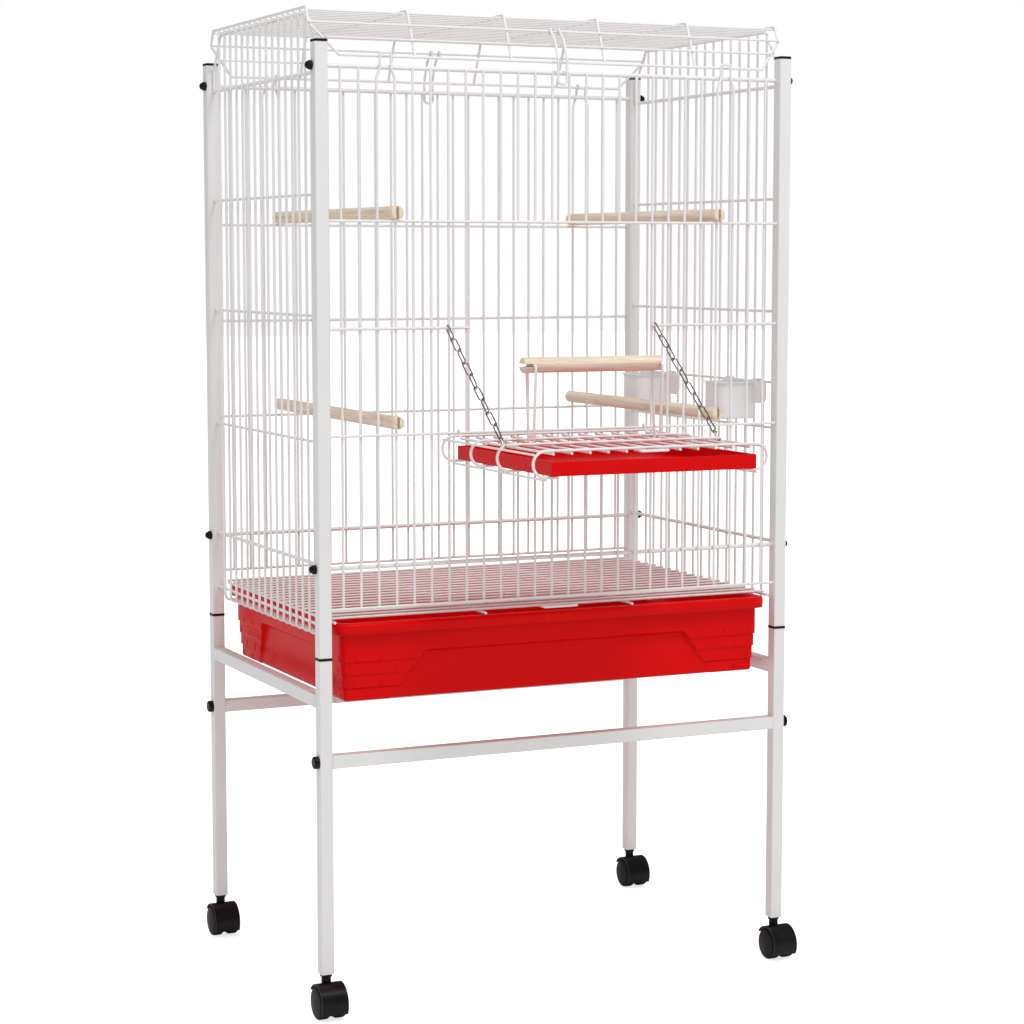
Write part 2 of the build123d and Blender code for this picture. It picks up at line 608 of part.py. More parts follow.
def tray_recesses(depth, grow):
    """Trapezoid prisms that set back the middle of the tray's four faces."""
    top = RECESS_TOP + grow
    prisms = []
    for (top_half, bottom_half), reach in ((RECESS_X, TRAY_BODY_Y), (RECESS_Y, TRAY_BODY_X)):
        outline = make_face(
            Polyline(
                (-bottom_half - grow, TRAY_BOTTOM - 1 - grow),
                (-top_half - grow, top),
                (top_half + grow, top),
                (bottom_half + grow, TRAY_BOTTOM - 1 - grow),
                close=True,
            )
        )
        if reach == TRAY_BODY_Y:
            prism = Plane(origin=(0, -reach + depth, 0), x_dir=(1, 0, 0), z_dir=(0, -1, 0)) * extrude(outline, 40)
            prisms += [prism, mirror(prism, about=Plane.XZ)]
        else:
            prism = Plane(origin=(reach - depth, 0, 0), x_dir=(0, 1, 0), z_dir=(1, 0, 0)) * extrude(outline, 40)
            prisms += [prism, mirror(prism, about=Plane.YZ)]
    return prisms


def build_drawer_tray():
    body = rounded_slab(TRAY_BODY_X - 3, TRAY_BODY_Y - 3, 12, TRAY_TOP - TRAY_RIM_HEIGHT, TRAY_TOP - 1)
    for row, (high, low) in enumerate(zip(BRICK_ROWS, BRICK_ROWS[1:])):
        inset = row * BRICK_STEP
        core = rounded_slab(TRAY_BODY_X - inset - 1.2, TRAY_BODY_Y - inset - 1.2, 12, low, high)
        face = rounded_slab(TRAY_BODY_X - inset, TRAY_BODY_Y - inset, 13, low, high - 1.5)
        body = body + core + face
    for prism in tray_recesses(RECESS_DEPTH, 0.0):
        body = body - prism
    rim = rounded_slab(TRAY_RIM_X, TRAY_RIM_Y, 18, TRAY_TOP - TRAY_RIM_HEIGHT, TRAY_TOP)
    rim = fillet(rim.edges().group_by(Axis.Z)[-1], 5.0)
    lip = TRAY_WALL
    under = rounded_slab(TRAY_RIM_X - lip, TRAY_RIM_Y - lip, 16, TRAY_TOP - TRAY_RIM_HEIGHT, TRAY_TOP - lip)
    rim = rim - under
    depth_inset = (len(BRICK_ROWS) - 1) * BRICK_STEP + TRAY_WALL
    cavity = rounded_slab(
        TRAY_BODY_X - depth_inset, TRAY_BODY_Y - depth_inset, 10, TRAY_BOTTOM + TRAY_WALL, TRAY_TOP + 5
    )
    for prism in tray_recesses(RECESS_DEPTH + TRAY_WALL, TRAY_WALL):
        cavity = cavity - prism
    node("drawer_tray", [rim + body - cavity])


# ---- platform door ----
def door_point(u, v, w):
    """Door coordinates: u across from its centre line, v forward from the hinge, w below the hinge."""
    return (DOOR_X + u, HINGE_Y - v, HINGE_Z - w)


def door_rod(start, end, radius):
    return rod(door_point(*start), door_point(*end), radius)


def door_cross_wire(v):
    """Cross wire whose ends curl down and back under the door's tray, in solids end to end."""
    low = GRID_DROP + 2 * CURL_RADIUS
    centre = GRID_DROP + CURL_RADIUS
    wires = [door_rod((-CURL_CENTRE, v, GRID_DROP), (CURL_CENTRE, v, GRID_DROP), CROSS_RADIUS)]
    lean = CURL_RADIUS * math.sqrt(0.5)
    for sign in (-1, 1):
        top = door_point(sign * CURL_CENTRE, v, GRID_DROP)
        upper = door_point(sign * (CURL_CENTRE + lean), v, centre - lean)
        outer = door_point(sign * (CURL_CENTRE + CURL_RADIUS), v, centre)
        lower = door_point(sign * (CURL_CENTRE + lean), v, centre + lean)
        bottom = door_point(sign * CURL_CENTRE, v, low)
        wires.append(path_wire([ThreePointArc(top, upper, outer)], CROSS_RADIUS))
        wires.append(path_wire([ThreePointArc(outer, lower, bottom)], CROSS_RADIUS))
        wires.append(door_rod((sign * CURL_CENTRE, v, low), (sign * CURL_STUB, v, low), CROSS_RADIUS))
    return wires


def hinge_loop(u, drop):
    """Ring around the panel's wire at the rear end of one of the door's outer bars."""
    ring = CROSS_RADIUS + BAR_RADIUS + RUNNING_FIT
    start_v = 10.0
    distance = math.hypot(start_v, drop)
    near = door_point(u, start_v * ring / distance, drop * ring / distance)
    arm = rod(near, door_point(u, start_v, drop), BAR_RADIUS)
    corner = Pos(*door_point(u, start_v, drop)) * Sphere(BAR_RADIUS)
    loop = Plane(origin=door_point(u, 0, 0), z_dir=(1, 0, 0)) * Torus(ring, BAR_RADIUS)
    return loop + arm + corner


def build_platform_door():
    bar_drop = GRID_DROP + CROSS_RADIUS + BAR_RADIUS
    front = DOOR_CROSS[-1] + 4
    wires = [wire for v in DOOR_CROSS for wire in door_cross_wire(v)]
    positions = bar_positions(DOOR_BARS, FRONT_PITCH)
    for u in positions:
        bar = door_rod((u, 10.0 if abs(u) > 150 else 3.0, bar_drop), (u, front, bar_drop), BAR_RADIUS)
        if u in (positions[0], positions[-1]):
            bar = bar + hinge_loop(u, bar_drop)
        wires.append(bar)
    for sign in (-1, 1):
        angle = math.radians(38)
        reach = CURL_RADIUS + CROSS_RADIUS + FINE_RADIUS
        rail_u = sign * (CURL_CENTRE + reach * math.cos(angle))
        rail_w = GRID_DROP + CURL_RADIUS - reach * math.sin(angle)
        wires.append(door_rod((rail_u, DOOR_CROSS[0], rail_w), (rail_u, DOOR_CROSS[-1], rail_w), FINE_RADIUS))
        low = GRID_DROP + CURL_RADIUS + reach
        wires.append(door_rod((sign * CURL_CENTRE, 3, low), (sign * CURL_CENTRE, front, low), FINE_RADIUS))
    catch = [(-22, DOOR_CROSS[-1] - 10), (-22, DOOR_CROSS[-1] + 9)]
    catch = [(u, v, bar_drop) for u, v in catch]
    catch += [(-u, v, w) for u, v, w in reversed(catch)]
    wires.append(bent_wire([door_point(u, v, w) for u, v, w in catch], BAR_RADIUS, 4.0))
    node("platform_door", wires)


def build_door_tray():
    floor_w = GRID_DROP + 2 * CURL_RADIUS - CROSS_RADIUS - 0.3
    low = door_point(-DOOR_TRAY_HALF, 338.5, floor_w)
    high = door_point(DOOR_TRAY_HALF, 8.0, floor_w - DOOR_TRAY_HEIGHT)
    tray = block(low, high)
    tray = fillet(tray.edges().filter_by(Axis.Z), 2.0)
    wall = CUP_WALL
    inside = block(
        (low[0] + wall, low[1] + wall, low[2] + wall), (high[0] - wall, high[1] - wall, high[2] + 1)
    )
    node("door_tray", [tray - inside])


def build_platform_perch():
    x_low, x_high = (DOOR_X + sign * reach for sign, reach in PLATFORM_PERCH_REACH.items())
    centre = (PLATFORM_PERCH_Y, PLATFORM_PERCH_Z)
    dowel = rod((x_low, *centre), (x_high, *centre), PLATFORM_PERCH_RADIUS)
    dowel = fillet(dowel.edges().filter_by(GeomType.CIRCLE), 1.2)
    slot = CROSS_RADIUS + 0.2
    for sign, reach in PLATFORM_PERCH_REACH.items():
        end_x = DOOR_X + sign * (reach + 1)
        stop_x = DOOR_X + sign * (BRACKET_X - slot - 0.1)
        low = (min(end_x, stop_x), PLATFORM_PERCH_Y - 15, PLATFORM_PERCH_Z - slot)
        high = (max(end_x, stop_x), PLATFORM_PERCH_Y + 15, PLATFORM_PERCH_Z + slot)
        dowel = dowel - block(low, high)
    node("platform_perch", [dowel])
    foot = HINGE_Z - GRID_DROP - CROSS_RADIUS - 2 * BAR_RADIUS
    brackets = []
    for sign in (-1, 1):
        x = DOOR_X + sign * BRACKET_X
        for end in ENDS.values():
            seam = (x, PLATFORM_PERCH_Y + end * BRACKET_HALF, PLATFORM_PERCH_Z - 12)
            brackets.append(rod((x, PLATFORM_PERCH_Y + end * 8.5, foot), seam, CROSS_RADIUS))
        top = [(-BRACKET_HALF, PLATFORM_PERCH_Z - 12), (-BRACKET_HALF, PLATFORM_PERCH_Z)]
        top += [(-y, z) for y, z in reversed(top)]
        brackets.append(bent_wire([(x, PLATFORM_PERCH_Y + y, z) for y, z in top], CROSS_RADIUS, 4.0))
    node("perch_brackets", brackets)


# ---- chains ----
CHAIN_TOP = Vector(0, -CROSS_Y, LEVEL_3)
CURL_SAG = CURL_RADIUS - math.sqrt(CURL_RADIUS**2 - (CHAIN_X - CURL_CENTRE) ** 2)
CHAIN_END = Vector(0, HINGE_Y - DOOR_CROSS[2], HINGE_Z - GRID_DROP - CURL_SAG)
CHAIN_DIRECTION = (CHAIN_END - CHAIN_TOP).normalized()
LINK_PITCH = 2 * LINK_HALF - 2 * LINK_RADIUS - RUNNING_FIT


def oval_link():
    """Oval link along X, lying in the XY plane."""
    straight = LINK_HALF - LINK_WIDTH
    outline = [
        Line((-straight, LINK_WIDTH), (straight, LINK_WIDTH)),
        ThreePointArc((straight, LINK_WIDTH), (straight + LINK_WIDTH, 0), (straight, -LINK_WIDTH)),
        Line((straight, -LINK_WIDTH), (-straight, -LINK_WIDTH)),
        ThreePointArc((-straight, -LINK_WIDTH), (-straight - LINK_WIDTH, 0), (-straight, LINK_WIDTH)),
    ]
    return path_wire(outline, LINK_RADIUS)


def chain_frame(distance, upright):
    """Plane at a distance down the chain, with X along the chain."""
    origin = CHAIN_TOP + CHAIN_DIRECTION * distance
    across = Vector(1, 0, 0)
    normal = across if upright else CHAIN_DIRECTION.cross(across)
    return Plane(origin=origin, x_dir=CHAIN_DIRECTION, z_dir=normal)


def link_centre(index):
    return LINK_HALF - (CROSS_RADIUS + LINK_RADIUS + RUNNING_FIT) + index * LINK_PITCH


def end_hook():
    """Open hook under the door's wire: an eye on the last link, a shank and an upward mouth."""
    last = link_centre(LINKS_UPPER + LINKS_LOWER - 1) + LINK_HALF
    eye = 2 * LINK_RADIUS + RUNNING_FIT + 0.3
    total = (CHAIN_END - CHAIN_TOP).length
    ring = CROSS_RADIUS + LINK_RADIUS + HOOK_PLAY
    eye_ring = chain_frame(last + eye - 2 * LINK_RADIUS, False) * Torus(eye, LINK_RADIUS)
    plane = Plane(origin=CHAIN_END, x_dir=CHAIN_DIRECTION, z_dir=(1, 0, 0))
    section = Plane.XZ * Pos(ring, 0, 0) * Circle(LINK_RADIUS)
    arc = plane * Rot(0, 0, -60) * revolve(section, Axis.Z, 170)
    start = plane.from_local_coords(Vector(ring * math.cos(math.radians(110)), ring * math.sin(math.radians(110)), 0))
    back = chain_frame(last + 2 * eye - 2 * LINK_RADIUS, True).origin
    shank = rod(tuple(back), tuple(start), LINK_RADIUS)
    return eye_ring + shank + arc + Pos(*start) * Sphere(LINK_RADIUS) + Pos(*back) * Sphere(LINK_RADIUS)


def build_chains():
    link = oval_link()
    hook = end_hook()
    for side_name, side in SIDES.items():
        place = Pos(DOOR_X + side * CHAIN_X, 0, 0)
        links = []
        for i in range(LINKS_UPPER + LINKS_LOWER):
            links.append(place * (chain_frame(link_centre(i), i % 2 == 0) * link))
        node(f"chain_{side_name}_upper", links[:LINKS_UPPER])
        node(f"chain_{side_name}_lower", links[LINKS_UPPER:] + [place * hook])


# ---- perches and feeder cups ----
def build_perches():
    for level, height in PERCH_HEIGHTS.items():
        for side_name, side in SIDES.items():
            x = side * PERCH_X
            perch = rod((x, -PERCH_HALF, height), (x, PERCH_HALF, height), PERCH_RADIUS)
            perch = fillet(perch.edges().filter_by(GeomType.CIRCLE), 2.0)
            slot = BAR_RADIUS + 0.1
            for end in ENDS.values():
                inner = end * (BAR_Y - slot - 0.1)
                outer = end * (PERCH_HALF + 1)
                low = (x - slot, min(inner, outer), height - 15)
                high = (x + slot, max(inner, outer), height + 15)
                perch = perch - block(low, high)
            node(f"perch_{level}_{side_name}", [perch])


def build_feeder_cup(cup_name, front_y):
    """Open cup with side wings and two hooks over the right panel's feeder wire."""
    plate_outer = SIDE_CROSS_X - CROSS_RADIUS - 0.5
    plate_inner = plate_outer - 2.5
    bottom = CUP_TOP - CUP_HEIGHT
    low = (plate_inner - CUP_DEPTH, front_y, bottom)
    high = (plate_outer, front_y + CUP_WIDTH, CUP_TOP)
    body = block(low, high)
    body = fillet(body.edges().filter_by(Axis.Z).group_by(Axis.X)[0], 12)
    body = fillet(body.edges().group_by(Axis.Z)[0], 3)
    rim = block((low[0] - 3, low[1] - 3, CUP_TOP - 2), (high[0], high[1] + 3, CUP_TOP))
    rim = fillet(rim.edges().filter_by(Axis.Z).group_by(Axis.X)[0], 14)
    inside = block(
        (low[0] + CUP_WALL, low[1] + CUP_WALL, bottom + CUP_WALL),
        (plate_inner, high[1] - CUP_WALL, CUP_TOP + 1),
    )
    inside = fillet(inside.edges().filter_by(Axis.Z).group_by(Axis.X)[0], 10)
    wing = 40.0
    plate = block((plate_inner, low[1] - wing, CUP_TOP - 34), (plate_outer, high[1] + wing, CUP_TOP + 1))
    plate = fillet(plate.edges().filter_by(Axis.X).group_by(Axis.Z)[0], 12)
    cup = body + rim + plate - inside
    over = FEEDER_WIRE_Z + CROSS_RADIUS + 0.3
    first_gap = (math.floor(low[1] / SIDE_PITCH) + 0.5) * SIDE_PITCH
    for shift in (0, 3 * SIDE_PITCH):
        y = first_gap + shift
        bridge = block((plate_inner, y - 7, CUP_TOP), (SIDE_CROSS_X + CROSS_RADIUS + 2.3, y + 7, over + 2))
        gap = block((plate_outer, y - 8, CUP_TOP - 9), (SIDE_CROSS_X + CROSS_RADIUS + 0.3, y + 8, over))
        tongue = block(
            (SIDE_CROSS_X + CROSS_RADIUS + 0.3, y - 7, CUP_TOP - 7),
            (SIDE_CROSS_X + CROSS_RADIUS + 2.3, y + 7, over + 2),
        )
        cup = cup + (bridge - gap) + tongue
    node(f"feeder_cup_{cup_name}", [cup])


def main():
    os.makedirs("parts", exist_ok=True)
    build_stand()
    build_casters()
    build_front_panel()
    build_rear_panel()
    for side_name, side in SIDES.items():
        build_side_panel(side_name, side)
    build_roof()
    for end_name, end in ENDS.items():
        build_roof_latch(end_name, end)
    build_floor_grid()
    build_drawer_tray()
    build_platform_door()
    build_door_tray()
    build_platform_perch()
    build_chains()
    build_perches()
    for cup_name, front_y in CUP_FRONTS.items():
        build_feeder_cup(cup_name, front_y)


main()
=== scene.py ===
"""Looks for the bird cage: camera, soft studio light, finishes and the detailed drawer tray."""
from collections import namedtuple
import json
import math

import bmesh
import bpy
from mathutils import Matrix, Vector


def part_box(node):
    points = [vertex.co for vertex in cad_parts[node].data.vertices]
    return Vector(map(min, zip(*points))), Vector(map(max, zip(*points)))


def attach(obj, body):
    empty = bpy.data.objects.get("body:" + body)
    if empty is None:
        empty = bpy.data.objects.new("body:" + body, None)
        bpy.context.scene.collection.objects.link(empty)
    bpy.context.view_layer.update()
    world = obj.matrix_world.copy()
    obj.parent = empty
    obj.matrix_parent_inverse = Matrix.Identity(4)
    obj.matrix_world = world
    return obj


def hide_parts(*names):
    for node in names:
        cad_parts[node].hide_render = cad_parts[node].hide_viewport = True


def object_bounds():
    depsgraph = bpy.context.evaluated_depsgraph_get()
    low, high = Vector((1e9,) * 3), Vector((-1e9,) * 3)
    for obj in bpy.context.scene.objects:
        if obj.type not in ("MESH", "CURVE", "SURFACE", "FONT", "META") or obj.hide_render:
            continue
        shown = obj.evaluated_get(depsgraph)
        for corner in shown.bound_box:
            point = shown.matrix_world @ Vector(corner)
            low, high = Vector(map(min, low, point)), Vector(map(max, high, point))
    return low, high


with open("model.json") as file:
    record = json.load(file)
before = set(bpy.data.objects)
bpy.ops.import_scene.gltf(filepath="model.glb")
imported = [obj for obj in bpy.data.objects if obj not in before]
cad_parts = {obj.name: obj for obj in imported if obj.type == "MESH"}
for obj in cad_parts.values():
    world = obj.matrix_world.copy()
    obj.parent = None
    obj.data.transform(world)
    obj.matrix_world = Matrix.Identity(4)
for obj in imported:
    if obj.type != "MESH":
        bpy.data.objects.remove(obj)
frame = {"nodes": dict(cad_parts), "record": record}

CAD_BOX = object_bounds()
MM = 0.001

# ---- camera ----
CAMERA_PLACE = (-1.6547, -3.6841, 1.1422)
CAMERA_TILT = 5.904          # degrees below the horizon
CAMERA_TURN = -24.655        # degrees about Z, away from facing the cage's front
CAMERA_LENS = 87.0           # millimetres
SENSOR_WIDTH = 36.0          # millimetres

# ---- studio ----
SKY_LIGHT = 0.84             # how strongly the white surroundings light the cage
SKY_SHINE = 0.12             # how strongly they show in glossy surfaces
FLOOR_GLOW = 0.7             # added to what the camera sees of the floor
FLOOR_HALF = 30.0            # half the floor's side
KEY_PLACE = (0.4, -2.3, 4.2)
KEY_AIM = (0.0, -0.1, 0.8)
KEY_SIZE = 1.0
KEY_POWER = 54.0

# ---- smooth shading: edges that turn by more than this stay sharp ----
NODE_SHARP_ANGLE = math.radians(35)
TRAY_SHARP_ANGLE = math.radians(60)


def add_camera():
    data = bpy.data.cameras.new("photo_camera")
    data.lens = CAMERA_LENS
    data.sensor_width = SENSOR_WIDTH
    data.clip_start = 0.05
    data.clip_end = 100.0
    camera = bpy.data.objects.new("photo_camera", data)
    camera.location = CAMERA_PLACE
    camera.rotation_euler = (math.radians(90 - CAMERA_TILT), 0.0, math.radians(CAMERA_TURN))
    bpy.context.scene.collection.objects.link(camera)
    bpy.context.scene.camera = camera


# ---- material helpers ----
def new_material(name):
    """A node material, its node tree and its principled shader."""
    material = bpy.data.materials.new(name)
    material.use_nodes = True
    tree = material.node_tree
    return material, tree, tree.nodes["Principled BSDF"]


def coordinates(tree, scale=(1.0, 1.0, 1.0)):
    """Object coordinates in metres, multiplied by a scale along each axis."""
    source = tree.nodes.new("ShaderNodeTexCoord")
    mapping = tree.nodes.new("ShaderNodeMapping")
    mapping.inputs["Scale"].default_value = scale
    tree.links.new(source.outputs["Object"], mapping.inputs["Vector"])
    return mapping.outputs["Vector"]


def noise(tree, vector, scale, detail=3.0, roughness=0.5):
    node = tree.nodes.new("ShaderNodeTexNoise")
    node.inputs["Scale"].default_value = scale
    node.inputs["Detail"].default_value = detail
    node.inputs["Roughness"].default_value = roughness
    tree.links.new(vector, node.inputs["Vector"])
    return node.outputs["Fac"]


def ramp(tree, value, stops):
    """Colour ramp through (position, colour) stops."""
    node = tree.nodes.new("ShaderNodeValToRGB")
    elements = node.color_ramp.elements
    while len(elements) < len(stops):
        elements.new(0.5)
    for element, (position, colour) in zip(elements, stops):
        element.position = position
        element.color = (*colour, 1.0)
    tree.links.new(value, node.inputs["Fac"])
    return node.outputs["Color"]


def cloudy(tree, vector, scale, dark, light):
    """A tone that drifts softly between two colours."""
    return ramp(tree, noise(tree, vector, scale), [(0.3, dark), (0.7, light)])


def level(tree, value, low, high):
    """Maps 0 to 1 onto low to high."""
    node = tree.nodes.new("ShaderNodeMapRange")
    node.inputs["To Min"].default_value = low
    node.inputs["To Max"].default_value = high
    tree.links.new(value, node.inputs["Value"])
    return node.outputs["Result"]


def bump(tree, shader, height, distance, strength):
    """Feeds a height of 0 to 1, worth a distance in metres, into the shader's normal."""
    node = tree.nodes.new("ShaderNodeBump")
    node.inputs["Distance"].default_value = distance
    node.inputs["Strength"].default_value = strength
    tree.links.new(height, node.inputs["Height"])
    tree.links.new(node.outputs["Normal"], shader.inputs["Normal"])


# ---- finishes ----
def powder_coat(name, dark, light):
    """Semi-gloss coat with fine orange peel and a little variation in tone."""
    material, tree, shader = new_material(name)
    vector = coordinates(tree)
    tree.links.new(cloudy(tree, vector, 9.0, dark, light), shader.inputs["Base Color"])
    gloss = noise(tree, vector, scale=60.0)
    tree.links.new(level(tree, gloss, low=0.28, high=0.42), shader.inputs["Roughness"])
    peel = noise(tree, vector, scale=1400.0, detail=2.0)
    bump(tree, shader, peel, distance=0.00006, strength=0.5)
    return material


def plastic(name, dark, light, rough, specular):
    """Moulded plastic with a fine skin and cloudy gloss."""
    material, tree, shader = new_material(name)
    vector = coordinates(tree)
    tree.links.new(cloudy(tree, vector, 14.0, dark, light), shader.inputs["Base Color"])
    gloss = noise(tree, vector, scale=35.0, detail=5.0)
    tree.links.new(level(tree, gloss, *rough), shader.inputs["Roughness"])
    shader.inputs["Specular IOR Level"].default_value = specular
    skin = noise(tree, vector, scale=700.0, detail=2.0)
    bump(tree, shader, skin, distance=0.00003, strength=0.3)
    return material


def dowel_wood(name, along_x):
    """Pale sanded hardwood whose grain runs along the dowel, which lies along X or Y."""
    material, tree, shader = new_material(name)
    along, across = 6.0, 160.0
    grain_scale = (along, across, across) if along_x else (across, along, across)
    fleck_scale = tuple(5.0 * scale for scale in grain_scale)
    bands = noise(tree, coordinates(tree, grain_scale), scale=1.0, detail=5.0, roughness=0.6)
    flecks = noise(tree, coordinates(tree, fleck_scale), scale=1.0, detail=2.0)
    grain_stops = [(0.30, (0.68, 0.53, 0.39)), (0.48, (0.80, 0.67, 0.53)), (0.66, (0.87, 0.77, 0.65))]
    fleck_stops = [(0.36, (0.72, 0.62, 0.50)), (0.46, (1.0, 1.0, 1.0))]
    mix = tree.nodes.new("ShaderNodeMix")
    mix.data_type = "RGBA"
    mix.blend_type = "MULTIPLY"
    mix.inputs["Factor"].default_value = 0.55
    tree.links.new(ramp(tree, bands, grain_stops), mix.inputs["A"])
    tree.links.new(ramp(tree, flecks, fleck_stops), mix.inputs["B"])
    tree.links.new(mix.outputs["Result"], shader.inputs["Base Color"])
    tree.links.new(level(tree, bands, low=0.62, high=0.48), shader.inputs["Roughness"])
    bump(tree, shader, bands, distance=0.0002, strength=0.4)
    return material


def plated_steel(name):
    """Bright plating with slightly uneven tone and gloss."""
    material, tree, shader = new_material(name)
    vector = coordinates(tree)
    tone = cloudy(tree, vector, 90.0, dark=(0.36, 0.36, 0.37), light=(0.62, 0.62, 0.63))
    tree.links.new(tone, shader.inputs["Base Color"])
    shader.inputs["Metallic"].default_value = 1.0
    gloss = noise(tree, vector, scale=220.0)
    tree.links.new(level(tree, gloss, low=0.18, high=0.36), shader.inputs["Roughness"])
    bump(tree, shader, noise(tree, vector, scale=900.0), distance=0.00004, strength=0.4)
    return material


def slot_finishes():
    """One material for each of the record's material slots."""
    return {
        "white_coat": powder_coat(
            "white_powder_coat", dark=(0.79, 0.785, 0.78), light=(0.82, 0.815, 0.81)
        ),
        "grey_coat": powder_coat(
            "post_powder_coat", dark=(0.77, 0.77, 0.765), light=(0.80, 0.80, 0.795)
        ),
        "black_plastic": plastic(
            "black_plastic",
            dark=(0.006, 0.006, 0.007),
            light=(0.010, 0.010, 0.011),
            rough=(0.32, 0.40),
            specular=0.22,
        ),
        "red_plastic": plastic(
            "red_plastic",
            dark=(0.68, 0.001, 0.002),
            light=(0.71, 0.002, 0.003),
            rough=(0.24, 0.29),
            specular=0.09,
        ),
        "white_plastic": plastic(
            "white_plastic",
            dark=(0.82, 0.82, 0.815),
            light=(0.86, 0.86, 0.855),
            rough=(0.25, 0.38),
            specular=0.5,
        ),
        "wheel_tread": plastic(
            "wheel_plastic",
            dark=(0.005, 0.005, 0.006),
            light=(0.009, 0.009, 0.010),
            rough=(0.34, 0.44),
            specular=0.15,
        ),
        "wood": dowel_wood("perch_wood", along_x=False),
        "steel_chain": plated_steel("plated_steel"),
    }


def dress(mesh, material, sharp_angle):
    """Gives a mesh one material and smooth shading between its sharp edges."""
    mesh.materials.clear()
    mesh.materials.append(material)
    mesh.polygons.foreach_set("use_smooth", [True] * len(mesh.polygons))
    mesh.set_sharp_from_angle(angle=sharp_angle)


def dress_nodes(finishes):
    """Puts each CAD node in its slot's finish. Only the platform's perch lies along X."""
    platform_wood = dowel_wood("platform_perch_wood", along_x=True)
    for part in frame["record"]["subparts"]:
        node = part["node"]
        material = platform_wood if node == "platform_perch" else finishes[part["material_slot"]]
        dress(frame["nodes"][node].data, material, NODE_SHARP_ANGLE)


# ---- drawer tray: a smooth moulded skin in place of the plain CAD solid ----
def smooth_step(value, low, high):
    """Rises smoothly from zero at low to one at high."""
    t = min(1.0, max(0.0, (value - low) / (high - low)))
    return t * t * (3.0 - 2.0 * t)


def groove(distance, half_width):
    """One at the middle of a groove, falling smoothly to zero at its edges."""
    return 1.0 - smooth_step(abs(distance), 0.0, half_width)


# A point of the body's outline: its place, the outward normal, how far it is along its
# face from the middle, and whether that face is a long one, at the front or rear.
OutlinePoint = namedtuple("OutlinePoint", "place normal along is_long")


